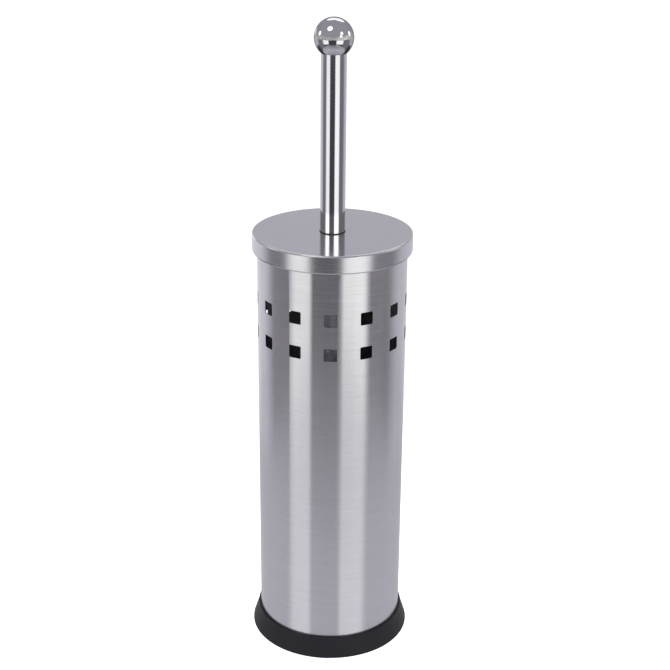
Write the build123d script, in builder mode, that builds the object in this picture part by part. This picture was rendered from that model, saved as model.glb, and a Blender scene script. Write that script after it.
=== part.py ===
from build123d import *
from math import cos, sin, sqrt, radians
import os

os.makedirs("parts", exist_ok=True)

# Toilet brush holder: a perforated steel canister on a plastic base, a drip cup inside,
# and a brush whose rod carries the canister's lid and ends in a ball knob.
# Millimetres, +Z up. Z = 0 is the floor, and the Z axis is everybody's centre line.
# One column of holes faces -Y, so +Y is midway between two columns.

# Driving dimensions
TOTAL_HEIGHT = 375.2
CAN_R = 43.0
CAN_SHEET = 0.5
CAN_FOOT_Z = 3.0
LID_R = 45.8
LID_TOP_Z = 254.9
LID_SKIRT = 10.5
LID_SHEET = 0.6
TUBE_R = 7.15
TUBE_WALL = 0.6
BALL_R = 11.0

# Clearances
MOVING_GAP = 0.3        # between pieces that lift apart
RUNNING_FIT = 0.06      # radial, where the tie stud turns in the lid's bush
ASSEMBLY_FIT = 0.05     # radial, between pieces that are pressed or screwed together
STUD_SPARE = 1.0        # depth of a blind hole beyond its stud
OVERLAP = 1.0           # how far a rib or a cutter runs into its neighbour

# Base cap
BASE_R = 47.8
BASE_EDGE_Z = 1.2
BASE_FLARE_Z = 10.4
BASE_FLARE_R = 44.8
BASE_TOP_Z = 12.6
BASE_TOP_R = 44.4
BASE_EDGE_SOFTENING = 0.8
BASE_FLARE_SOFTENING = 1.2
BASE_TOP_SOFTENING = 0.5
BASE_FLOOR_TOP_Z = 5.0
BASE_FLOOR = 2.0
BASE_RECESS_R = 40.0
UPSTAND_R = 41.2
UPSTAND_WALL = 1.2
UPSTAND_TOP_Z = 11.0
RIB_WALL = 1.6
RIB_FOOT_Z = 0.6
RIB_COUNT = 8
BOSS_R = 9.0
LOCATOR_R = 38.2
LOCATOR_TOP_Z = 9.5
LOCATOR_COUNT = 6

# Canister
CAN_HEM_R = 1.1
HEM_TURN = 245
HOLE_SIZE = 7.45
HOLE_CORNER = 0.6
HOLE_ROWS_Z = (216.6, 196.1)
HOLE_COLUMNS = 13

# Drip cup
CUP_FLOOR = 1.2
CUP_WALL = 1.2
CUP_FOOT_R = 37.6
CUP_TOP_R = 38.6
CUP_RIM_R = 39.8
CUP_RIM_HEIGHT = 2.0
CUP_TOP_Z = 95.0
CUP_CORNER = 3.0
CUP_RIM_SOFTENING = 0.6

# Lid and its bush
LID_CORNER = 0.9
LID_HEM_R = 0.95
LID_HOLE_R = 5.2
BUSH_FLANGE_R = 7.5
BUSH_FLANGE = 0.3
BUSH_SOFTENING = 0.1
BUSH_TAIL = 0.3
RETAINER = 1.4
RETAINER_R = 8.3
RETAINER_CHAMFER = 0.4

# Studs and plugs
TIE_R = 4.0
TIE_HALF_LENGTH = 21.0
BALL_STUD_R = 3.0
BALL_STUD_FOOT_Z = 342.4
BALL_STUD_TOP_Z = 367.4
STUD_CHAMFER = 0.5
PLUG_LENGTH = 18.0

# Brush head
HUB_R = 11.0
HUB_FOOT_Z = 24.0
HUB_TOP_Z = 98.0
COLLAR_R = 9.6
COLLAR_HEIGHT = 5.0
HUB_CORNER = 3.0
ROD_FOOT_Z = 92.0
HEAD_STUD_FOOT_Z = 76.0
HEAD_STUD_TOP_Z = 106.0
HEAD_R = 35.0
TUFT_ROOT_R = 1.1
TUFT_SPREAD = 0.058     # radius that a tuft gains per millimetre of length
TUFT_HOLE_R = 1.45
ROW_COUNT = 8
ROW_LOWEST_Z = 36.0
ROW_PITCH = 7.5
ROW_TUFTS = 14
ROW_ROOT_RADIUS = 7.5
SKIRT_TUFTS = 12
SKIRT_ROOT_RADIUS = 7.0
SKIRT_ROOT_Z = 31.5
SKIRT_DROOP = 30
SKIRT_LENGTH = 25.0
END_TUFTS = 5
END_ROOT_RADIUS = 3.0
END_ROOT_Z = 28.0
END_DROOP = 65
END_LENGTH = 13.0

# Heights that follow from the above
lid_under_z = LID_TOP_Z - LID_SHEET
can_top_z = lid_under_z - MOVING_GAP
bush_top_z = LID_TOP_Z + BUSH_FLANGE
bush_foot_z = lid_under_z - RETAINER - BUSH_TAIL
handle_foot_z = bush_top_z + MOVING_GAP
rod_top_z = bush_foot_z - MOVING_GAP
ball_center_z = TOTAL_HEIGHT - BALL_R
ball_seat_z = ball_center_z - sqrt(BALL_R**2 - TUBE_R**2)
bore_r = TUBE_R - TUBE_WALL


def rings_of(builder, radius):
    """The circular edges of a part that have a given radius."""
    circles = builder.edges().filter_by(GeomType.CIRCLE)
    return circles.filter_by(lambda edge: abs(edge.radius - radius) < 0.01)


def tube(low, high):
    """A length of the steel tube that the handle and the rod are cut from."""
    with BuildPart() as piece:
        with BuildSketch(Plane.XY.offset(low)):
            Circle(TUBE_R)
            Circle(bore_r, mode=Mode.SUBTRACT)
        extrude(amount=high - low)
    return piece.part


def plug(low, high, hole_r):
    """A turned insert that fills the end of a tube and takes a stud."""
    with BuildPart() as piece:
        with BuildSketch(Plane.XY.offset(low)):
            Circle(bore_r - ASSEMBLY_FIT)
            Circle(hole_r + ASSEMBLY_FIT, mode=Mode.SUBTRACT)
        extrude(amount=high - low)
    return piece.part


def stud(low, high, radius):
    """A threaded stud, its thread left plain at the nominal diameter."""
    with BuildPart() as piece:
        with BuildSketch(Plane.XY.offset(low)):
            Circle(radius)
        extrude(amount=high - low)
        chamfer(piece.edges().filter_by(GeomType.CIRCLE), STUD_CHAMFER)
    return piece.part


# The base: a moulded cap with a groove for the canister's lower edge.
with BuildPart() as base_cap:
    with BuildSketch(Plane.XZ):
        with BuildLine():
            groove_outer_r = CAN_R + ASSEMBLY_FIT
            groove_inner_r = UPSTAND_R + UPSTAND_WALL
            floor_under_z = BASE_FLOOR_TOP_Z - BASE_FLOOR
            Polyline((0, floor_under_z), (BASE_RECESS_R, floor_under_z),
                     (BASE_RECESS_R, 0), (BASE_R, 0), (BASE_R, BASE_EDGE_Z),
                     (BASE_FLARE_R, BASE_FLARE_Z), (BASE_TOP_R, BASE_TOP_Z),
                     (groove_outer_r, BASE_TOP_Z), (groove_outer_r, CAN_FOOT_Z),
                     (groove_inner_r, CAN_FOOT_Z), (groove_inner_r, UPSTAND_TOP_Z),
                     (UPSTAND_R, UPSTAND_TOP_Z), (UPSTAND_R, BASE_FLOOR_TOP_Z),
                     (0, BASE_FLOOR_TOP_Z), (0, floor_under_z))
        make_face()
    revolve(axis=Axis.Z)
    # Ribs and a boss under the floor, clear of the ground
    rib_length = BASE_RECESS_R - BOSS_R + 2 * OVERLAP
    with BuildSketch(Plane.XY.offset(RIB_FOOT_Z)):
        with PolarLocations(BOSS_R - OVERLAP + rib_length / 2, RIB_COUNT):
            Rectangle(rib_length, RIB_WALL)
        Circle(BOSS_R)
        Circle(BOSS_R - RIB_WALL, mode=Mode.SUBTRACT)
    extrude(amount=floor_under_z - RIB_FOOT_Z)
    # Short ribs that keep the drip cup in the middle
    locator_length = UPSTAND_R - LOCATOR_R + OVERLAP
    with BuildSketch(Plane.XY.offset(BASE_FLOOR_TOP_Z)):
        with PolarLocations(LOCATOR_R + locator_length / 2, LOCATOR_COUNT):
            Rectangle(locator_length, RIB_WALL)
    extrude(amount=LOCATOR_TOP_Z - BASE_FLOOR_TOP_Z)
    # Soften the edge at the floor, the foot of the lip and the lip's top edge
    fillet(rings_of(base_cap, BASE_R), BASE_EDGE_SOFTENING)
    fillet(rings_of(base_cap, BASE_FLARE_R), BASE_FLARE_SOFTENING)
    fillet(rings_of(base_cap, BASE_TOP_R), BASE_TOP_SOFTENING)
base_cap.part.label = "base_cap"
export_step(base_cap.part, "parts/base_cap.step")

# The canister: one rolled sheet with its top edge curled inwards and two rows of holes.
with BuildPart() as canister_shell:
    with BuildSketch(Plane.XZ):
        with BuildLine():
            hem = (CAN_R - CAN_HEM_R, can_top_z - CAN_HEM_R)
            outside = Line((CAN_R, CAN_FOOT_Z), (CAN_R, hem[1]))
            inside = Line((CAN_R - CAN_SHEET, CAN_FOOT_Z), (CAN_R - CAN_SHEET, hem[1]))
            Line(outside @ 0, inside @ 0)
            curl_out = CenterArc(hem, CAN_HEM_R, 0, HEM_TURN)
            curl_in = CenterArc(hem, CAN_HEM_R - CAN_SHEET, 0, HEM_TURN)
            Line(curl_out @ 1, curl_in @ 1)
        make_face()
    revolve(axis=Axis.Z)
    for row_z in HOLE_ROWS_Z:
        for column in range(HOLE_COLUMNS):
            from_front = 360 / HOLE_COLUMNS * column
            heading = (sin(radians(from_front)), -cos(radians(from_front)), 0)
            with BuildSketch(Plane(origin=(0, 0, row_z), x_dir=(0, 0, 1), z_dir=heading)):
                RectangleRounded(HOLE_SIZE, HOLE_SIZE, HOLE_CORNER)
            extrude(amount=CAN_R + OVERLAP, mode=Mode.SUBTRACT)
canister_shell.part.label = "canister_shell"
export_step(canister_shell.part, "parts/canister_shell.step")

# The drip cup: a loose plastic liner that catches the brush's water and lifts out.
with BuildPart() as drip_cup:
    with BuildSketch(Plane.XZ):
        with BuildLine():
            cup_foot_z = BASE_FLOOR_TOP_Z + MOVING_GAP
            rim_foot_z = CUP_TOP_Z - CUP_RIM_HEIGHT
            Polyline((0, cup_foot_z), (CUP_FOOT_R, cup_foot_z), (CUP_TOP_R, rim_foot_z),
                     (CUP_RIM_R, rim_foot_z), (CUP_RIM_R, CUP_TOP_Z),
                     (CUP_TOP_R - CUP_WALL, CUP_TOP_Z),
                     (CUP_FOOT_R - CUP_WALL, cup_foot_z + CUP_FLOOR),
                     (0, cup_foot_z + CUP_FLOOR), (0, cup_foot_z))
        make_face()
    revolve(axis=Axis.Z)
    fillet(rings_of(drip_cup, CUP_FOOT_R), CUP_CORNER)
    fillet(rings_of(drip_cup, CUP_FOOT_R - CUP_WALL), CUP_CORNER - CUP_WALL)
    fillet(rings_of(drip_cup, CUP_RIM_R), CUP_RIM_SOFTENING)
drip_cup.part.label = "drip_cup"
export_step(drip_cup.part, "parts/drip_cup.step")

# The lid: a flat pressed cap whose skirt hangs over the canister and ends in a rolled hem.
with BuildPart() as lid_cap:
    with BuildSketch(Plane.XZ):
        with BuildLine():
            corner = (LID_R - LID_CORNER, LID_TOP_Z - LID_CORNER)
            hem = (LID_R - LID_HEM_R, LID_TOP_Z - LID_SKIRT + LID_HEM_R)
            top = Line((LID_HOLE_R, LID_TOP_Z), (corner[0], LID_TOP_Z))
            under = Line((LID_HOLE_R, lid_under_z), (corner[0], lid_under_z))
            Line(top @ 0, under @ 0)
            CenterArc(corner, LID_CORNER, 0, 90)
            CenterArc(corner, LID_CORNER - LID_SHEET, 0, 90)
            Line((LID_R, corner[1]), (LID_R, hem[1]))
            Line((LID_R - LID_SHEET, corner[1]), (LID_R - LID_SHEET, hem[1]))
            curl_out = CenterArc(hem, LID_HEM_R, 0, -HEM_TURN)
            curl_in = CenterArc(hem, LID_HEM_R - LID_SHEET, 0, -HEM_TURN)
            Line(curl_out @ 1, curl_in @ 1)
        make_face()
    revolve(axis=Axis.Z)
lid_cap.part.label = "lid_cap"
export_step(lid_cap.part, "parts/lid_cap.step")

# The lid's bush: its flange is the thin dark washer at the handle's foot.
with BuildPart() as lid_bush:
    with BuildSketch(Plane.XY.offset(bush_foot_z)):
        Circle(LID_HOLE_R - ASSEMBLY_FIT)
    extrude(amount=LID_TOP_Z - bush_foot_z)
    with BuildSketch(Plane.XY.offset(LID_TOP_Z)):
        Circle(BUSH_FLANGE_R)
    extrude(amount=BUSH_FLANGE)
    fillet(lid_bush.edges().group_by(Axis.Z)[-1], BUSH_SOFTENING)
    Cylinder(TIE_R + RUNNING_FIT, 3 * LID_TOP_Z, mode=Mode.SUBTRACT)
lid_bush.part.label = "lid_bush"
export_step(lid_bush.part, "parts/lid_bush.step")

# The ring under the lid that holds the bush in its hole.
with BuildPart() as bush_retainer:
    with BuildSketch(Plane.XY.offset(lid_under_z - RETAINER)):
        Circle(RETAINER_R)
        Circle(LID_HOLE_R, mode=Mode.SUBTRACT)
    extrude(amount=RETAINER)
    chamfer(rings_of(bush_retainer, RETAINER_R).sort_by(Axis.Z)[0], RETAINER_CHAMFER)
bush_retainer.part.label = "bush_retainer"
export_step(bush_retainer.part, "parts/bush_retainer.step")

# The handle above the lid
handle_tube = tube(handle_foot_z, ball_seat_z)
handle_tube.label = "handle_tube"
export_step(handle_tube, "parts/handle_tube.step")

handle_foot_plug = plug(handle_foot_z, handle_foot_z + PLUG_LENGTH, TIE_R)
handle_foot_plug.label = "handle_foot_plug"
export_step(handle_foot_plug, "parts/handle_foot_plug.step")

handle_top_plug = plug(ball_seat_z - PLUG_LENGTH, ball_seat_z, BALL_STUD_R)
handle_top_plug.label = "handle_top_plug"
export_step(handle_top_plug, "parts/handle_top_plug.step")

ball_stud = stud(BALL_STUD_FOOT_Z, BALL_STUD_TOP_Z, BALL_STUD_R)
ball_stud.label = "ball_stud"
export_step(ball_stud, "parts/ball_stud.step")

# The ball knob, with a flat that seats on the tube and a blind hole for its stud.
with BuildPart() as ball_knob:
    with Locations((0, 0, ball_center_z)):
        Sphere(BALL_R)
    split(bisect_by=Plane.XY.offset(ball_seat_z), keep=Keep.TOP)
    with BuildSketch(Plane.XY.offset(ball_seat_z)):
        Circle(BALL_STUD_R + ASSEMBLY_FIT)
    extrude(amount=BALL_STUD_TOP_Z + STUD_SPARE - ball_seat_z, mode=Mode.SUBTRACT)
ball_knob.part.label = "ball_knob"
export_step(ball_knob.part, "parts/ball_knob.step")

# The stud through the lid, and the rod that hangs below it
tie_center_z = (handle_foot_z + rod_top_z) / 2
tie_stud = stud(tie_center_z - TIE_HALF_LENGTH, tie_center_z + TIE_HALF_LENGTH, TIE_R)
tie_stud.label = "tie_stud"
export_step(tie_stud, "parts/tie_stud.step")

brush_rod = tube(ROD_FOOT_Z, rod_top_z)
brush_rod.label = "brush_rod"
export_step(brush_rod, "parts/brush_rod.step")

rod_top_plug = plug(rod_top_z - PLUG_LENGTH, rod_top_z, TIE_R)
rod_top_plug.label = "rod_top_plug"
export_step(rod_top_plug, "parts/rod_top_plug.step")

rod_foot_plug = plug(ROD_FOOT_Z, ROD_FOOT_Z + PLUG_LENGTH, TIE_R)
rod_foot_plug.label = "rod_foot_plug"
export_step(rod_foot_plug, "parts/rod_foot_plug.step")

head_stud = stud(HEAD_STUD_FOOT_Z, HEAD_STUD_TOP_Z, TIE_R)
head_stud.label = "head_stud"
export_step(head_stud, "parts/head_stud.step")


def tuft_planes(count, root_radius, root_z, first_angle, droop):
    """Planes at the roots of a ring of tufts, each facing along its tuft."""
    planes = []
    for index in range(count):
        angle = radians(first_angle + 360 / count * index)
        outwards = Vector(cos(angle), sin(angle), 0)
        origin = outwards * root_radius + Vector(0, 0, root_z)
        heading = outwards * cos(radians(droop)) - Vector(0, 0, sin(radians(droop)))
        planes.append(Plane(origin=origin, z_dir=heading))
    return planes


# Every ring of tufts: its node name, the roots' planes and the tufts' length.
# Straight rings alternate by half a pitch, a drooping ring skirts the hub's foot,
# and a last few point down from its end.
tuft_rings = []
for row in range(ROW_COUNT):
    half_pitch = 180 / ROW_TUFTS * (row % 2)
    row_planes = tuft_planes(ROW_TUFTS, ROW_ROOT_RADIUS, ROW_LOWEST_Z + ROW_PITCH * row,
                             half_pitch, 0)
    tuft_rings.append((f"bristle_row_{row + 1}", row_planes, HEAD_R - ROW_ROOT_RADIUS))
skirt_planes = tuft_planes(SKIRT_TUFTS, SKIRT_ROOT_RADIUS, SKIRT_ROOT_Z, 0, SKIRT_DROOP)
tuft_rings.append(("bristle_skirt_row", skirt_planes, SKIRT_LENGTH))
end_planes = tuft_planes(END_TUFTS, END_ROOT_RADIUS, END_ROOT_Z, 0, END_DROOP)
tuft_rings.append(("bristle_end_tufts", end_planes, END_LENGTH))

# The hub: a moulded core with a blind hole for every tuft and a socket for the rod.
with BuildPart() as brush_hub:
    with BuildSketch(Plane.XZ):
        with BuildLine():
            socket_r = TIE_R + ASSEMBLY_FIT
            seat_r = TUBE_R + ASSEMBLY_FIT
            socket_foot_z = HEAD_STUD_FOOT_Z - STUD_SPARE
            Polyline((0, HUB_FOOT_Z), (HUB_R, HUB_FOOT_Z), (HUB_R, HUB_TOP_Z - COLLAR_HEIGHT),
                     (COLLAR_R, HUB_TOP_Z), (seat_r, HUB_TOP_Z), (seat_r, ROD_FOOT_Z),
                     (socket_r, ROD_FOOT_Z), (socket_r, socket_foot_z),
                     (0, socket_foot_z), (0, HUB_FOOT_Z))
        make_face()
    revolve(axis=Axis.Z)
    foot_edge = brush_hub.edges().filter_by(GeomType.CIRCLE).group_by(Axis.Z)[0]
    fillet(foot_edge, HUB_CORNER)
    for _, ring_planes, _ in tuft_rings:
        with Locations(*ring_planes):
            Cylinder(TUFT_HOLE_R, HUB_R, align=(Align.CENTER, Align.CENTER, Align.MIN),
                     mode=Mode.SUBTRACT)
brush_hub.part.label = "brush_hub"
export_step(brush_hub.part, "parts/brush_hub.step")

# The tufts: plain cones with the size of the real, spreading bundles of filaments.
for ring_name, ring_planes, tuft_length in tuft_rings:
    with BuildPart() as bristle_ring:
        with Locations(*ring_planes):
            Cone(TUFT_ROOT_R, TUFT_ROOT_R + TUFT_SPREAD * tuft_length, tuft_length,
                 align=(Align.CENTER, Align.CENTER, Align.MIN))
    bristle_ring.part.label = ring_name
    export_step(bristle_ring.part, f"parts/{ring_name}.step")
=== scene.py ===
import math

import bpy
import numpy as np
from mathutils import Matrix, Vector


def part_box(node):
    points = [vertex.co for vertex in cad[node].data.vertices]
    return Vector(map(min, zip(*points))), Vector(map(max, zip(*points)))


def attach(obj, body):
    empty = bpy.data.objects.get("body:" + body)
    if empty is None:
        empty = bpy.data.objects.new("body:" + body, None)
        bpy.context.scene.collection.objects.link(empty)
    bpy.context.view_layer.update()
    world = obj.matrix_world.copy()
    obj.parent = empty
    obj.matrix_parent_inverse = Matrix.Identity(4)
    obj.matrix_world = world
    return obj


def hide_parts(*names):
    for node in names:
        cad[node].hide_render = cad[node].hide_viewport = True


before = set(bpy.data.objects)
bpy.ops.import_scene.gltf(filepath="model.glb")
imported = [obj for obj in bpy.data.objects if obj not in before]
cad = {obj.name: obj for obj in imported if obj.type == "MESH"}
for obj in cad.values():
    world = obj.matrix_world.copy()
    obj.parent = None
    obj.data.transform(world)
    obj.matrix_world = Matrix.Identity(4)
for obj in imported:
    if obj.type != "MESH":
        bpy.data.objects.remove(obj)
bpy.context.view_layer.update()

MM = 0.001
CANISTER_R = 43.0 * MM
LID_R = 45.8 * MM

# The camera, in metres and degrees in the frame's own axes
CAMERA_DISTANCE = 0.7759
CAMERA_HEIGHT = 0.5025
CAMERA_PITCH = 21.86
CAMERA_ROLL = 0.45
CAMERA_TURN = 0.86
CAMERA_LENS = 76.88
CAMERA_SHIFT = 0.0049

# The studio. Azimuths are degrees from the camera's side, positive to its right,
# elevations are degrees above the horizon, and levels are radiances.
# A softbox stands low in a first reflection. In a second one, as in the table or the lid, and
# for matte surfaces it stands full height, and it's brighter above the horizon.
SOFTBOXES = (
    {"left": -66, "left_edge": 20, "right": -31, "right_edge": 9, "level": 1.5},
    {"left": 15.5, "left_edge": 8, "right": 57, "right_edge": 18, "level": 1.6},
)
SOFTBOX_FOOT = -30
SOFTBOX_FOOT_EDGE = 4
SOFTBOX_TOP = -8
SOFTBOX_TOP_EDGE = 3
SOFTBOX_MIRRORED_TOP = 42
SOFTBOX_MIRRORED_LEVEL = 3.3
SOFTBOX_MIRRORED_BRIGHTENS = (-3, 6)
# Lamps: azimuth, elevation, angular radius, level
LAMPS = (
    (-38, 56, 13, 3.0),
    (-94, 15, 8.5, 2.5),
    (51, 27, 8, 2.2),
    (42, 13, 7, 2.0),
    (104, 12, 8.5, 2.2),
    (66, -3, 5, 1.3),
    (-144, 2, 7, 2.5),
    (162, 44, 15, 1.9),
    (-172, 44, 14, 1.9),
)
LAMP_EDGE = 2.5
# The room's levels, and the azimuths and elevations between which one changes to the next
ROOM_FRONT = 0.08
ROOM_SIDE = 0.26
ROOM_SIDE_SPAN = (35, 80)
ROOM_HIGH = 0.45
ROOM_HIGH_SPAN = (4, 12)
ROOM_HIGH_MIRRORED_SPAN = (8, 34)
ROOM_TOP_MIRRORED = 0.95
ROOM_TOP_SPAN = (52, 66)
# The cluttered horizon: patches of two levels, brighter to the right
HORIZON_DARK = 0.3
HORIZON_LIGHT = 0.85
HORIZON_PATCH_WIDTH = 9
HORIZON_PATCH_HEIGHT = 4
HORIZON_GLOW = 0.25
HORIZON_GLOW_AZIMUTH = 62
HORIZON_GLOW_SPAN = (25, 60)
HORIZON_RAGGED = 12.0
HORIZON_FOOT_SPAN = (-9, -6)
HORIZON_TOP_SPAN = (7, 13)
# The backdrop behind the holder; it stands further round above the horizon
BACKDROP_SPAN = (92, 122)
BACKDROP_HIGH_SPAN = (136, 152)
BACKDROP_HIGH_FROM_SPAN = (-8, 2)
BACKDROP_LEFT = 0.87
BACKDROP_RIGHT = 0.74
BACKDROP_ABOVE = 0.6
BACKDROP_ABOVE_SPAN = (-5, 18)
BACKDROP_TOP_SPAN = (30, 55)
BACKDROP_FOOT_SPAN = (-31, -23)
# Tints of dim light, bright light and the horizon
TINT_DIM = (0.98, 0.96, 1.06)
TINT_BRIGHT = (1.0, 1.0, 0.985)
TINT_LEVELS = (0.7, 1.3)
TINT_HORIZON = (1.03, 1.0, 0.97)
TINT_HORIZON_ELEVATION = 2.0
TINT_HORIZON_SPAN = (8, 14)
WHITE_SEEN = 1.15
TABLE_HALF_WIDTH = 0.36
TABLE_HALF_DEPTH = 0.43
TABLE_CENTRE = (0, -0.14, -0.3 * MM)
TABLE_TONE = (0.2, 0.197, 0.214)
# The table's glow round the holder is a painted pool of light: its tint, its levels near and far,
# their span and its stretch
TABLE_GLOW_TINT = (0.98, 0.97, 1.05)
TABLE_GLOW_NEAR = 0.45
TABLE_GLOW_FAR = 0.03
TABLE_GLOW_SPAN = (0.06, 0.58)
TABLE_GLOW_STRETCH = 1.7
TABLE_SEEN = 0.95

# The brushing of the steel: how wide and how long its fine and its broad lines are
BRUSH_FINE = (0.14 * MM, 26 * MM)
BRUSH_BROAD = (0.8 * MM, 24 * MM)
BRUSH_FINE_SHARE = 0.6
BRUSH_ROUGHNESS_SWING = 0.02
BRUSH_TONE_SPAN = (0.33, 0.67)
QUARTER_TURN = 0.25
# The canister's satin inside: how far within the outside it starts, its tone, darkened as painted
# shade, and its roughness
INSIDE_FROM = 0.4 * MM
INSIDE_TO = 0.2 * MM
INSIDE_PAINTED_SHADE_TONE = (0.3, 0.3, 0.31)
INSIDE_ROUGHNESS = 0.45
# The weld down the canister: distances from its middle over which it and its heat tint fade
WELD_BEAD = (0.25 * MM, 0.6 * MM)
WELD_TINGE = (0.5 * MM, 2.4 * MM)
WELD_HEIGHT = 0.05 * MM
WELD_TONE = (0.42, 0.41, 0.42)
WELD_TINGE_TONE = (0.5, 0.46, 0.42)
WELD_ROUGHER = 0.12
# The lid's skirt: how far within the outside it starts, and how much rougher than the top it is
SKIRT_FROM = 1.2 * MM
SKIRT_TO = 0.5 * MM
SKIRT_ROUGHER = 0.11
# How much rougher a smear from a cloth makes brushed steel and polished steel
SMEAR_ON_BRUSHED = 0.025
SMEAR_ON_POLISHED = 0.04
# Where values of noise mostly lie
NOISE_LOW = 0.3
NOISE_HIGH = 0.7

# The bristles
ROW_TUFTS = 14
SKIRT_TUFTS = 12
SKIRT_DROOP = 30
SKIRT_ROOT_RADIUS = 7.0 * MM
SKIRT_ROOT_ABOVE_FOOT = 7.5 * MM
SKIRT_LENGTH = 25.0 * MM
END_TUFTS = 5
END_DROOP = 65
END_ROOT_RADIUS = 3.0 * MM
END_ROOT_ABOVE_FOOT = 4.0 * MM
END_LENGTH = 13.0 * MM
ROW_ROOT_RADIUS = 7.5 * MM
TUFT_ROOT = 1.05 * MM
TUFT_SPREAD = 0.066
FILAMENTS = 42
FILAMENT_RADIUS = 0.13 * MM
FILAMENT_RINGS = 6
FILAMENT_SIDES = 5
SEED = 7


# ---------------------------------------------------------------- node helpers


class Nodes:
    """A short way to write the nodes of a material or a world."""

    def __init__(self, tree):
        self.nodes = tree.nodes
        self.links = tree.links
        self.nodes.clear()

    def feed(self, socket, value):
        """Links a socket to another, or sets its value."""
        if isinstance(value, bpy.types.NodeSocket):
            self.links.new(value, socket)
        else:
            socket.default_value = value

    def add(self, kind, inputs=(), **settings):
        """Adds a node; inputs maps socket names or numbers to values or other sockets."""
        node = self.nodes.new(kind)
        for name, value in settings.items():
            setattr(node, name, value)
        for key, value in dict(inputs).items():
            self.feed(node.inputs[key], value)
        return node

    def math(self, operation, *values):
        node = self.add("ShaderNodeMath", enumerate(values), operation=operation)
        return node.outputs[0]

    def ramp(self, value, low, high, to_low=0.0, to_high=1.0):
        """Maps low..high of value smoothly to to_low..to_high and holds the ends."""
        inputs = enumerate((value, low, high, to_low, to_high))
        node = self.add("ShaderNodeMapRange", inputs, interpolation_type="SMOOTHSTEP")
        return node.outputs[0]

    def vector(self, x, y, z):
        return self.add("ShaderNodeCombineXYZ", enumerate((x, y, z))).outputs[0]

    def noise(self, vector, detail=2.0, roughness=0.5, scale=1.0):
        inputs = {"Vector": vector, "Scale": scale, "Detail": detail, "Roughness": roughness}
        return self.add("ShaderNodeTexNoise", inputs).outputs[0]

    def blend(self, factor, first, second):
        """A colour between first and second."""
        node = self.add("ShaderNodeMix", {0: factor, 6: first, 7: second}, data_type="RGBA")
        return node.outputs[2]

    def lerp(self, factor, first, second):
        """A value between first and second."""
        return self.add("ShaderNodeMix", {0: factor, 2: first, 3: second}).outputs[0]

    def largest(self, *values):
        result = values[0]
        for value in values[1:]:
            result = self.math("MAXIMUM", result, value)
        return result

    def bump(self, height, distance, normal=None):
        """A normal from a height of 0 to 1 over a real distance in metres."""
        node = self.add("ShaderNodeBump", {"Height": height, "Distance": distance, "Strength": 1.0})
        if normal is not None:
            self.feed(node.inputs["Normal"], normal)
        return node.outputs[0]


def rgb(red, green, blue):
    return (red, green, blue, 1.0)


class Surface(Nodes):
    """A material with one principled shader, and coordinates round the object's own axis."""

    def __init__(self, name):
        self.material = bpy.data.materials.new(name)
        self.material.use_nodes = True
        super().__init__(self.material.node_tree)
        self.shader = self.add("ShaderNodeBsdfPrincipled")
        output = self.add("ShaderNodeOutputMaterial")
        self.links.new(self.shader.outputs[0], output.inputs["Surface"])
        place = self.add("ShaderNodeTexCoord").outputs["Object"]
        split = self.add("ShaderNodeSeparateXYZ", {0: place})
        self.place = place
        self.x, self.y, self.z = split.outputs[0:3]
        across = self.math("POWER", self.x, 2.0)
        along = self.math("POWER", self.y, 2.0)
        self.radius = self.math("SQRT", self.math("ADD", across, along))
        # How far a point is along the profile: up a wall, and outwards on a flat
        self.profile = self.math("ADD", self.radius, self.z)

    def set(self, **inputs):
        """Sets the shader's sockets; an underscore stands for a space in a socket's name."""
        for name, value in inputs.items():
            self.feed(self.shader.inputs[name.replace("_", " ")], value)

    def turned_lines(self, width, length, detail=3.0, roughness=0.6):
        """Noise in lines that run round the axis, from 0 to 1: their width and length in metres."""
        x = self.math("MULTIPLY", self.x, 1 / length)
        y = self.math("MULTIPLY", self.y, 1 / length)
        profile = self.math("MULTIPLY", self.profile, 1 / width)
        return self.noise(self.vector(x, y, profile), detail, roughness)

    def drawn_lines(self, width, length):
        """Noise in lines that run along the axis."""
        x = self.math("MULTIPLY", self.x, 1 / width)
        y = self.math("MULTIPLY", self.y, 1 / width)
        z = self.math("MULTIPLY", self.z, 1 / length)
        return self.noise(self.vector(x, y, z), 3.0, 0.6)

    def blotches(self, size, detail=2.0):
        """Noise in patches of about the given size in metres, from 0 to 1."""
        return self.noise(self.place, detail, 0.5, 1 / size)

    def wipe_marks(self):
        """Faint smears that a cloth leaves, from 0 to 1."""
        x = self.math("MULTIPLY", self.x, 22.0)
        y = self.math("MULTIPLY", self.y, 22.0)
        z = self.math("MULTIPLY", self.z, 9.0)
        return self.ramp(self.noise(self.vector(x, y, z), 4.0, 0.55), 0.42, 0.72)


def round_axis(surface):
    """The tangent that runs round the Z axis."""
    return surface.add("ShaderNodeTangent", direction_type="RADIAL", axis="Z").outputs[0]


def brushed_steel(name, tone, contrast, roughness, anisotropy, line_depth):
    """Stainless sheet, brushed round the object's axis."""
    s = Surface(name)
    fine = s.turned_lines(*BRUSH_FINE)
    broad = s.turned_lines(*BRUSH_BROAD)
    grain = s.lerp(BRUSH_FINE_SHARE, broad, fine)
    light = tuple(min(1.0, c * (1 + contrast)) for c in tone)
    dark = tuple(c * (1 - contrast) for c in tone)
    s.tone = s.blend(s.ramp(grain, *BRUSH_TONE_SPAN), rgb(*dark), rgb(*light))
    swing = s.ramp(fine, NOISE_LOW, NOISE_HIGH, roughness - BRUSH_ROUGHNESS_SWING,
                   roughness + BRUSH_ROUGHNESS_SWING)
    s.rough = s.math("ADD", swing, s.math("MULTIPLY", s.wipe_marks(), SMEAR_ON_BRUSHED))
    s.set(Base_Color=s.tone, Metallic=1.0, Roughness=s.rough)
    s.set(Anisotropic=anisotropy, Anisotropic_Rotation=QUARTER_TURN, Tangent=round_axis(s))
    s.relief = s.bump(fine, line_depth, s.bump(broad, line_depth))
    s.set(Normal=s.relief)
    return s


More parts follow.
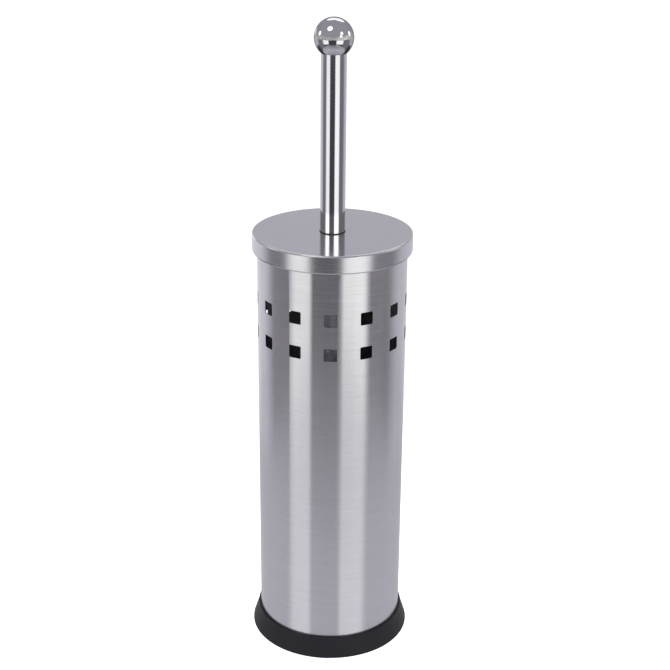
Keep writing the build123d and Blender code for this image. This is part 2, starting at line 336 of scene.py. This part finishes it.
def canister_steel():
    """The canister's sheet: brushed outside, satin inside with painted shade darkening its tone,
    with a welded seam down the back.
    """
    s = brushed_steel("canister_steel", (0.58, 0.575, 0.59), contrast=0.045, roughness=0.175,
                      anisotropy=1.0, line_depth=0.0006 * MM)
    inside = s.ramp(s.radius, CANISTER_R - INSIDE_FROM, CANISTER_R - INSIDE_TO, 1.0, 0.0)
    turn = s.math("ABSOLUTE", s.math("ARCTAN2", s.x, s.math("MULTIPLY", s.y, -1.0)))
    from_seam = s.math("MULTIPLY", s.math("SUBTRACT", math.pi, turn), CANISTER_R)
    bead = s.ramp(from_seam, *WELD_BEAD, 1.0, 0.0)
    tinge = s.ramp(from_seam, *WELD_TINGE, 0.35, 0.0)
    tone = s.blend(tinge, s.tone, rgb(*WELD_TINGE_TONE))
    tone = s.blend(s.math("MULTIPLY", bead, 0.5), tone, rgb(*WELD_TONE))
    # The inside's darker tone is painted shade.
    s.set(Base_Color=s.blend(inside, tone, rgb(*INSIDE_PAINTED_SHADE_TONE)))
    scales = s.ramp(s.turned_lines(0.8 * MM, 8 * MM), NOISE_LOW, NOISE_HIGH, 0.7, 1.0)
    s.set(Normal=s.bump(s.math("MULTIPLY", bead, scales), WELD_HEIGHT, s.relief))
    rough = s.math("ADD", s.rough, s.math("MULTIPLY", bead, WELD_ROUGHER))
    s.set(Roughness=s.lerp(inside, rough, INSIDE_ROUGHNESS))
    return s.material


def lid_steel():
    """The lid's sheet: nearly polished on top, with a softer satin skirt."""
    s = brushed_steel("lid_steel", (0.58, 0.575, 0.595), contrast=0.02, roughness=0.14,
                      anisotropy=0.3, line_depth=0.0002 * MM)
    skirt = s.ramp(s.radius, LID_R - SKIRT_FROM, LID_R - SKIRT_TO)
    s.set(Roughness=s.math("ADD", s.rough, s.math("MULTIPLY", skirt, SKIRT_ROUGHER)))
    return s.material


def polished_steel():
    """The tubes: polished, with a trace of the drawing lines along them."""
    s = Surface("polished_steel")
    lines = s.drawn_lines(0.25 * MM, 45 * MM)
    s.set(Base_Color=s.blend(lines, rgb(0.54, 0.54, 0.56), rgb(0.6, 0.6, 0.62)), Metallic=1.0)
    s.set(Roughness=s.math("ADD", s.ramp(lines, NOISE_LOW, NOISE_HIGH, 0.07, 0.11),
                           s.math("MULTIPLY", s.wipe_marks(), SMEAR_ON_POLISHED)))
    s.set(Normal=s.bump(lines, 0.0006 * MM))
    return s.material


def chromed_ball():
    """Mirror chrome with faint finger smears."""
    s = Surface("chromed_ball")
    marks = s.wipe_marks()
    peel = s.blotches(2.5 * MM)
    s.set(Base_Color=s.blend(marks, rgb(0.57, 0.57, 0.59), rgb(0.6, 0.6, 0.62)), Metallic=1.0)
    s.set(Roughness=s.ramp(marks, 0.0, 1.0, 0.02, 0.06), Normal=s.bump(peel, 0.002 * MM))
    s.set(Specular_Tint=rgb(0.4, 0.4, 0.43))
    return s.material


def turned_metal(name, tone):
    """Aluminium plugs and zinc-plated studs, with the lathe's rings."""
    s = Surface(name)
    rings = s.turned_lines(0.35 * MM, 30 * MM)
    stain = s.blotches(3 * MM)
    dark = tuple(c * 0.8 for c in tone)
    s.set(Base_Color=s.blend(stain, rgb(*dark), rgb(*tone)), Metallic=1.0)
    s.set(Roughness=s.ramp(rings, NOISE_LOW, NOISE_HIGH, 0.28, 0.42))
    s.set(Normal=s.bump(rings, 0.02 * MM))
    return s.material


def moulded_plastic(name, tone, roughness, gloss=0.5):
    """Injection-moulded plastic: a fine spark-eroded grain, flow variation and soft scuffs."""
    s = Surface(name)
    grain = s.blotches(0.35 * MM, 3.0)
    flow = s.blotches(14 * MM)
    scuffs = s.turned_lines(0.5 * MM, 9 * MM, 2.0)
    dark = tuple(c * 0.88 for c in tone)
    light = tuple(min(1.0, c * 1.12) for c in tone)
    s.set(Base_Color=s.blend(flow, rgb(*dark), rgb(*light)))
    worn = s.math("MULTIPLY", s.ramp(scuffs, 0.6, 0.8), 0.07)
    s.set(Roughness=s.math("SUBTRACT", s.ramp(grain, 0.2, 0.8, roughness - 0.04, roughness + 0.05),
                           worn))
    s.set(Normal=s.bump(grain, 0.006 * MM), Specular_IOR_Level=gloss)
    return s.material


def nylon_filament():
    """White nylon: slightly clear, with painted shade making it a little darker towards the roots.
    """
    s = Surface("nylon_filament")
    streaks = s.blotches(1.2 * MM)
    # Painted shade: the filaments darken towards the hub, where the tufts crowd.
    painted_root_shade = s.ramp(s.radius, 0.010, 0.034)
    root_shaded_tone = s.blend(painted_root_shade, rgb(0.66, 0.66, 0.64), rgb(0.86, 0.86, 0.85))
    streaked = s.ramp(streaks, NOISE_LOW, NOISE_HIGH, 0.0, 0.25)
    s.set(Base_Color=s.blend(streaked, root_shaded_tone, rgb(0.93, 0.93, 0.92)))
    s.set(Roughness=s.ramp(streaks, NOISE_LOW, NOISE_HIGH, 0.28, 0.4))
    s.set(Subsurface_Weight=0.15, Subsurface_Scale=0.3 * MM)
    return s.material


# ---------------------------------------------------------------- bristles


def tuft_axes(count, root_radius, root_z, first_angle, droop):
    """The root and the heading of every tuft in a ring."""
    axes = []
    for index in range(count):
        angle = math.radians(first_angle + 360 / count * index)
        outwards = Vector((math.cos(angle), math.sin(angle), 0))
        heading = outwards * math.cos(math.radians(droop))
        heading.z = -math.sin(math.radians(droop))
        axes.append((outwards * root_radius + Vector((0, 0, root_z)), heading))
    return axes


def filament_points(root, heading, length, random):
    """The centre line of one filament: packed at the root, spread and slightly wavy outwards."""
    side = heading.orthogonal().normalized()
    up = heading.cross(side)
    angle = random.uniform(0, 2 * math.pi)
    share = math.sqrt(random.uniform(0, 1))
    reach = length * random.uniform(0.975, 1.0)
    wave = random.uniform(0.05, 0.16) * MM
    phase = random.uniform(0, 2 * math.pi)
    turns = random.uniform(1.2, 2.2)
    points = []
    for ring in range(FILAMENT_RINGS):
        t = ring / (FILAMENT_RINGS - 1)
        offset = share * (TUFT_ROOT + TUFT_SPREAD * length * t ** 1.25)
        ripple = wave * t * math.sin(phase + turns * 2 * math.pi * t)
        across = side * (offset * math.cos(angle) + ripple * math.sin(angle))
        over = up * (offset * math.sin(angle) - ripple * math.cos(angle))
        points.append(root + heading * (reach * t) + across + over)
    return points


def filament_ring(name, axes, length, seed):
    """One mesh with every filament of a ring of tufts."""
    random = np.random.default_rng(seed)
    vertices = []
    faces = []
    for root, heading in axes:
        side = heading.orthogonal().normalized()
        up = heading.cross(side)
        for _ in range(FILAMENTS):
            first = len(vertices)
            for point in filament_points(root, heading, length, random):
                for corner in range(FILAMENT_SIDES):
                    angle = 2 * math.pi * corner / FILAMENT_SIDES
                    spoke = side * math.cos(angle) + up * math.sin(angle)
                    vertices.append(point + spoke * FILAMENT_RADIUS)
            for ring in range(FILAMENT_RINGS - 1):
                for corner in range(FILAMENT_SIDES):
                    low = first + ring * FILAMENT_SIDES
                    following = (corner + 1) % FILAMENT_SIDES
                    faces.append((low + corner, low + following,
                                  low + FILAMENT_SIDES + following, low + FILAMENT_SIDES + corner))
            last = first + (FILAMENT_RINGS - 1) * FILAMENT_SIDES
            faces.append(tuple(first + corner for corner in reversed(range(FILAMENT_SIDES))))
            faces.append(tuple(last + corner for corner in range(FILAMENT_SIDES)))
    mesh = bpy.data.meshes.new(name)
    mesh.from_pydata(vertices, [], faces)
    mesh.polygons.foreach_set("use_smooth", [len(face) == 4 for face in faces])
    mesh.update()
    piece = bpy.data.objects.new(name, mesh)
    bpy.context.scene.collection.objects.link(piece)
    return piece


def make_bristles():
    """Every ring of filaments, each in the place of its ring of plain CAD tufts."""
    rows = sorted(name for name in cad if name.startswith("bristle_row_"))
    head_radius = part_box(rows[0])[1].x
    hub_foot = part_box("brush_hub")[0].z
    rings = []
    for index, name in enumerate(rows):
        low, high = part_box(name)
        axes = tuft_axes(ROW_TUFTS, ROW_ROOT_RADIUS, (low.z + high.z) / 2,
                         180 / ROW_TUFTS * (index % 2), 0)
        rings.append((name, axes, head_radius - ROW_ROOT_RADIUS))
    skirt = tuft_axes(SKIRT_TUFTS, SKIRT_ROOT_RADIUS, hub_foot + SKIRT_ROOT_ABOVE_FOOT,
                      0, SKIRT_DROOP)
    rings.append(("bristle_skirt_row", skirt, SKIRT_LENGTH))
    end = tuft_axes(END_TUFTS, END_ROOT_RADIUS, hub_foot + END_ROOT_ABOVE_FOOT, 0, END_DROOP)
    rings.append(("bristle_end_tufts", end, END_LENGTH))
    nylon = nylon_filament()
    for index, (node, axes, length) in enumerate(rings):
        piece = filament_ring("filaments_" + node, axes, length, SEED + index)
        piece.data.materials.append(nylon)
        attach(piece, "brush")
        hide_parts(node)


# ---------------------------------------------------------------- materials on the CAD nodes


def dress(material, *names):
    """Gives CAD nodes a material."""
    for name in names:
        cad[name].data.materials.clear()
        cad[name].data.materials.append(material)


def dress_all():
    """Gives every CAD node that shows its own material."""
    dress(canister_steel(), "canister_shell")
    dress(lid_steel(), "lid_cap")
    dress(polished_steel(), "handle_tube")
    dress(moulded_plastic("white_coating", (0.82, 0.82, 0.93), 0.3), "brush_rod")
    dress(chromed_ball(), "ball_knob")
    dress(turned_metal("turned_aluminium", (0.74, 0.74, 0.75)), "handle_foot_plug",
          "handle_top_plug", "rod_top_plug", "rod_foot_plug")
    dress(turned_metal("zinc_plate", (0.6, 0.61, 0.63)), "ball_stud", "tie_stud", "head_stud")
    dress(moulded_plastic("black_base", (0.0135, 0.0135, 0.017), 0.48, gloss=0.2), "base_cap")
    dress(moulded_plastic("black_nylon", (0.04, 0.04, 0.044), 0.45), "lid_bush", "bush_retainer")
    dress(moulded_plastic("grey_liner", (0.17, 0.17, 0.18), 0.38), "drip_cup")
    dress(moulded_plastic("white_hub", (0.8, 0.8, 0.78), 0.42), "brush_hub")


# ---------------------------------------------------------------- the studio


def softbox(n, azimuth, elevation, tall, box):
    """The radiance of one softbox, low or full height."""
    left = n.ramp(azimuth, box["left"] - box["left_edge"] / 2, box["left"] + box["left_edge"] / 2)
    right = n.ramp(azimuth, box["right"] - box["right_edge"] / 2,
                   box["right"] + box["right_edge"] / 2, 1.0, 0.0)
    low = n.ramp(elevation, SOFTBOX_TOP - SOFTBOX_TOP_EDGE, SOFTBOX_TOP + SOFTBOX_TOP_EDGE,
                 box["level"], 0.0)
    full = n.ramp(elevation, *SOFTBOX_MIRRORED_BRIGHTENS, box["level"], SOFTBOX_MIRRORED_LEVEL)
    below_top = n.ramp(elevation, SOFTBOX_MIRRORED_TOP - SOFTBOX_TOP_EDGE,
                       SOFTBOX_MIRRORED_TOP + SOFTBOX_TOP_EDGE, 1.0, 0.0)
    above_foot = n.ramp(elevation, SOFTBOX_FOOT - SOFTBOX_FOOT_EDGE,
                        SOFTBOX_FOOT + SOFTBOX_FOOT_EDGE)
    level = n.lerp(tall, low, n.math("MULTIPLY", full, below_top))
    level = n.math("MULTIPLY", level, above_foot)
    return n.math("MULTIPLY", level, n.math("MULTIPLY", left, right))


def lamp(n, toward, azimuth, elevation, radius, level):
    """The radiance of a round lamp."""
    side = math.cos(math.radians(elevation))
    centre = (side * math.sin(math.radians(azimuth)), -side * math.cos(math.radians(azimuth)),
              math.sin(math.radians(elevation)))
    near = n.add("ShaderNodeVectorMath", {0: toward, 1: centre}, operation="DOT_PRODUCT")
    outer = math.cos(math.radians(radius + LAMP_EDGE))
    inner = math.cos(math.radians(radius - LAMP_EDGE))
    return n.ramp(near.outputs["Value"], outer, inner, 0.0, level)


def horizon(n, azimuth, elevation):
    """The cluttered horizon: its radiance, and from 0 to 1 how far a direction is in it."""
    clutter = n.noise(n.vector(n.math("MULTIPLY", azimuth, 1 / HORIZON_PATCH_WIDTH),
                               n.math("MULTIPLY", elevation, 1 / HORIZON_PATCH_HEIGHT), 0.0), 3.0)
    patches = n.ramp(clutter, 0.38, 0.62, HORIZON_DARK, HORIZON_LIGHT)
    aside = n.math("ABSOLUTE", n.math("SUBTRACT", azimuth, HORIZON_GLOW_AZIMUTH))
    level = n.math("ADD", patches, n.ramp(aside, *HORIZON_GLOW_SPAN, HORIZON_GLOW, 0.0))
    uneven = n.math("MULTIPLY", n.math("SUBTRACT", clutter, 0.5), HORIZON_RAGGED)
    height = n.math("ADD", elevation, uneven)
    inside = n.math("MULTIPLY", n.ramp(height, *HORIZON_FOOT_SPAN),
                    n.ramp(height, *HORIZON_TOP_SPAN, 1.0, 0.0))
    return level, inside


def room(n, azimuth, elevation, mirrored):
    """The radiance of the room in front and of the backdrop behind."""
    side = n.math("ABSOLUTE", azimuth)
    low = n.ramp(side, *ROOM_SIDE_SPAN, ROOM_FRONT, ROOM_SIDE)
    high = n.lerp(mirrored, n.ramp(elevation, *ROOM_HIGH_SPAN),
                  n.ramp(elevation, *ROOM_HIGH_MIRRORED_SPAN))
    front = n.lerp(high, low, ROOM_HIGH)
    level, inside = horizon(n, azimuth, elevation)
    front = n.lerp(inside, front, level)
    back = n.ramp(azimuth, -60, 60, BACKDROP_LEFT, BACKDROP_RIGHT)
    back = n.lerp(n.ramp(elevation, *BACKDROP_ABOVE_SPAN), back, BACKDROP_ABOVE)
    back = n.lerp(n.ramp(elevation, *BACKDROP_TOP_SPAN), back, ROOM_HIGH)
    back = n.lerp(n.ramp(elevation, *BACKDROP_FOOT_SPAN), ROOM_FRONT, back)
    behind = n.lerp(n.ramp(elevation, *BACKDROP_HIGH_FROM_SPAN), n.ramp(side, *BACKDROP_SPAN),
                    n.ramp(side, *BACKDROP_HIGH_SPAN))
    top = n.math("MULTIPLY", mirrored, n.ramp(elevation, *ROOM_TOP_SPAN))
    return n.lerp(top, n.lerp(behind, front, back), ROOM_TOP_MIRRORED)


def make_world():
    """A studio for the steel to reflect: softboxes, lamps, a dim room and a pale backdrop.

    The camera itself sees plain white.
    """
    world = bpy.data.worlds.new("studio")
    bpy.context.scene.world = world
    world.use_nodes = True
    n = Nodes(world.node_tree)
    toward = n.add("ShaderNodeTexCoord").outputs["Generated"]
    x, y, z = n.add("ShaderNodeSeparateXYZ", {0: toward}).outputs[0:3]
    azimuth = n.math("DEGREES", n.math("ARCTAN2", x, n.math("MULTIPLY", y, -1.0)))
    elevation = n.math("DEGREES", n.math("ARCSINE", z))
    path = n.add("ShaderNodeLightPath")
    # 1 for a second reflection: what the table or the lid mirrors
    mirrored = n.ramp(path.outputs["Glossy Depth"], 1.2, 1.8)
    tall = n.math("MAXIMUM", mirrored, path.outputs["Is Diffuse Ray"])
    boxes = [softbox(n, azimuth, elevation, tall, box) for box in SOFTBOXES]
    lamps = n.largest(*[lamp(n, toward, *place) for place in LAMPS])
    lamps = n.lerp(mirrored, lamps, 0.0)
    level = n.largest(room(n, azimuth, elevation, mirrored), lamps, *boxes)
    tint = n.blend(n.ramp(level, *TINT_LEVELS), rgb(*TINT_DIM), rgb(*TINT_BRIGHT))
    off_horizon = n.math("ABSOLUTE", n.math("SUBTRACT", elevation, TINT_HORIZON_ELEVATION))
    tint = n.blend(n.ramp(off_horizon, *TINT_HORIZON_SPAN, 1.0, 0.0), tint, rgb(*TINT_HORIZON))
    light = n.add("ShaderNodeBackground", {"Color": tint, "Strength": level})
    white = n.add("ShaderNodeBackground", {"Color": rgb(1, 1, 1), "Strength": WHITE_SEEN})
    both = n.add("ShaderNodeMixShader", {0: path.outputs["Is Camera Ray"],
                                         1: light.outputs[0], 2: white.outputs[0]})
    output = n.add("ShaderNodeOutputWorld")
    n.links.new(both.outputs[0], output.inputs["Surface"])


def make_table():
    """A pale glossy table top; it glows enough for the camera to see it as white, and glows in a
    painted pool of light round the holder.
    """
    bpy.ops.mesh.primitive_circle_add(vertices=128, radius=1, fill_type="NGON",
                                      location=TABLE_CENTRE)
    table = bpy.context.object
    table.name = "table_top"
    table.scale = (TABLE_HALF_WIDTH, TABLE_HALF_DEPTH, 1)
    s = Surface("table_white")
    s.set(Base_Color=rgb(*TABLE_TONE), Roughness=0.08, Specular_IOR_Level=1.0)
    place = s.add("ShaderNodeNewGeometry").outputs["Position"]
    x, y = s.add("ShaderNodeSeparateXYZ", {0: place}).outputs[0:2]
    wide = s.math("MULTIPLY", x, 1 / TABLE_GLOW_STRETCH)
    out = s.math("SQRT", s.math("ADD", s.math("MULTIPLY", wide, wide), s.math("MULTIPLY", y, y)))
    # A painted pool of light, brightest round the holder and fading outwards.
    lit = s.ramp(out, *TABLE_GLOW_SPAN, TABLE_GLOW_NEAR, TABLE_GLOW_FAR)
    seen = s.add("ShaderNodeLightPath").outputs["Is Camera Ray"]
    glow = s.math("ADD", s.math("MULTIPLY", seen, TABLE_SEEN), lit)
    s.set(Emission_Color=rgb(*TABLE_GLOW_TINT), Emission_Strength=glow)
    table.data.materials.append(s.material)


def make_camera():
    """The camera: a long lens that looks down on the holder, slightly turned and rolled."""
    data = bpy.data.cameras.new("camera")
    data.sensor_width = 36
    data.lens = CAMERA_LENS
    data.shift_x = CAMERA_SHIFT
    data.clip_start = 0.01
    data.clip_end = 50
    camera = bpy.data.objects.new("camera", data)
    bpy.context.scene.collection.objects.link(camera)
    turn = Matrix.Rotation(math.radians(CAMERA_TURN), 4, "Z")
    place = Matrix.Translation((0, -CAMERA_DISTANCE, CAMERA_HEIGHT))
    pitch = Matrix.Rotation(math.radians(90 - CAMERA_PITCH), 4, "X")
    roll = Matrix.Rotation(math.radians(CAMERA_ROLL), 4, "Z")
    camera.matrix_world = turn @ place @ pitch @ roll
    bpy.context.scene.camera = camera


make_bristles()
dress_all()
make_world()
make_table()
make_camera()
bpy.context.scene.view_settings.view_transform = "Standard"
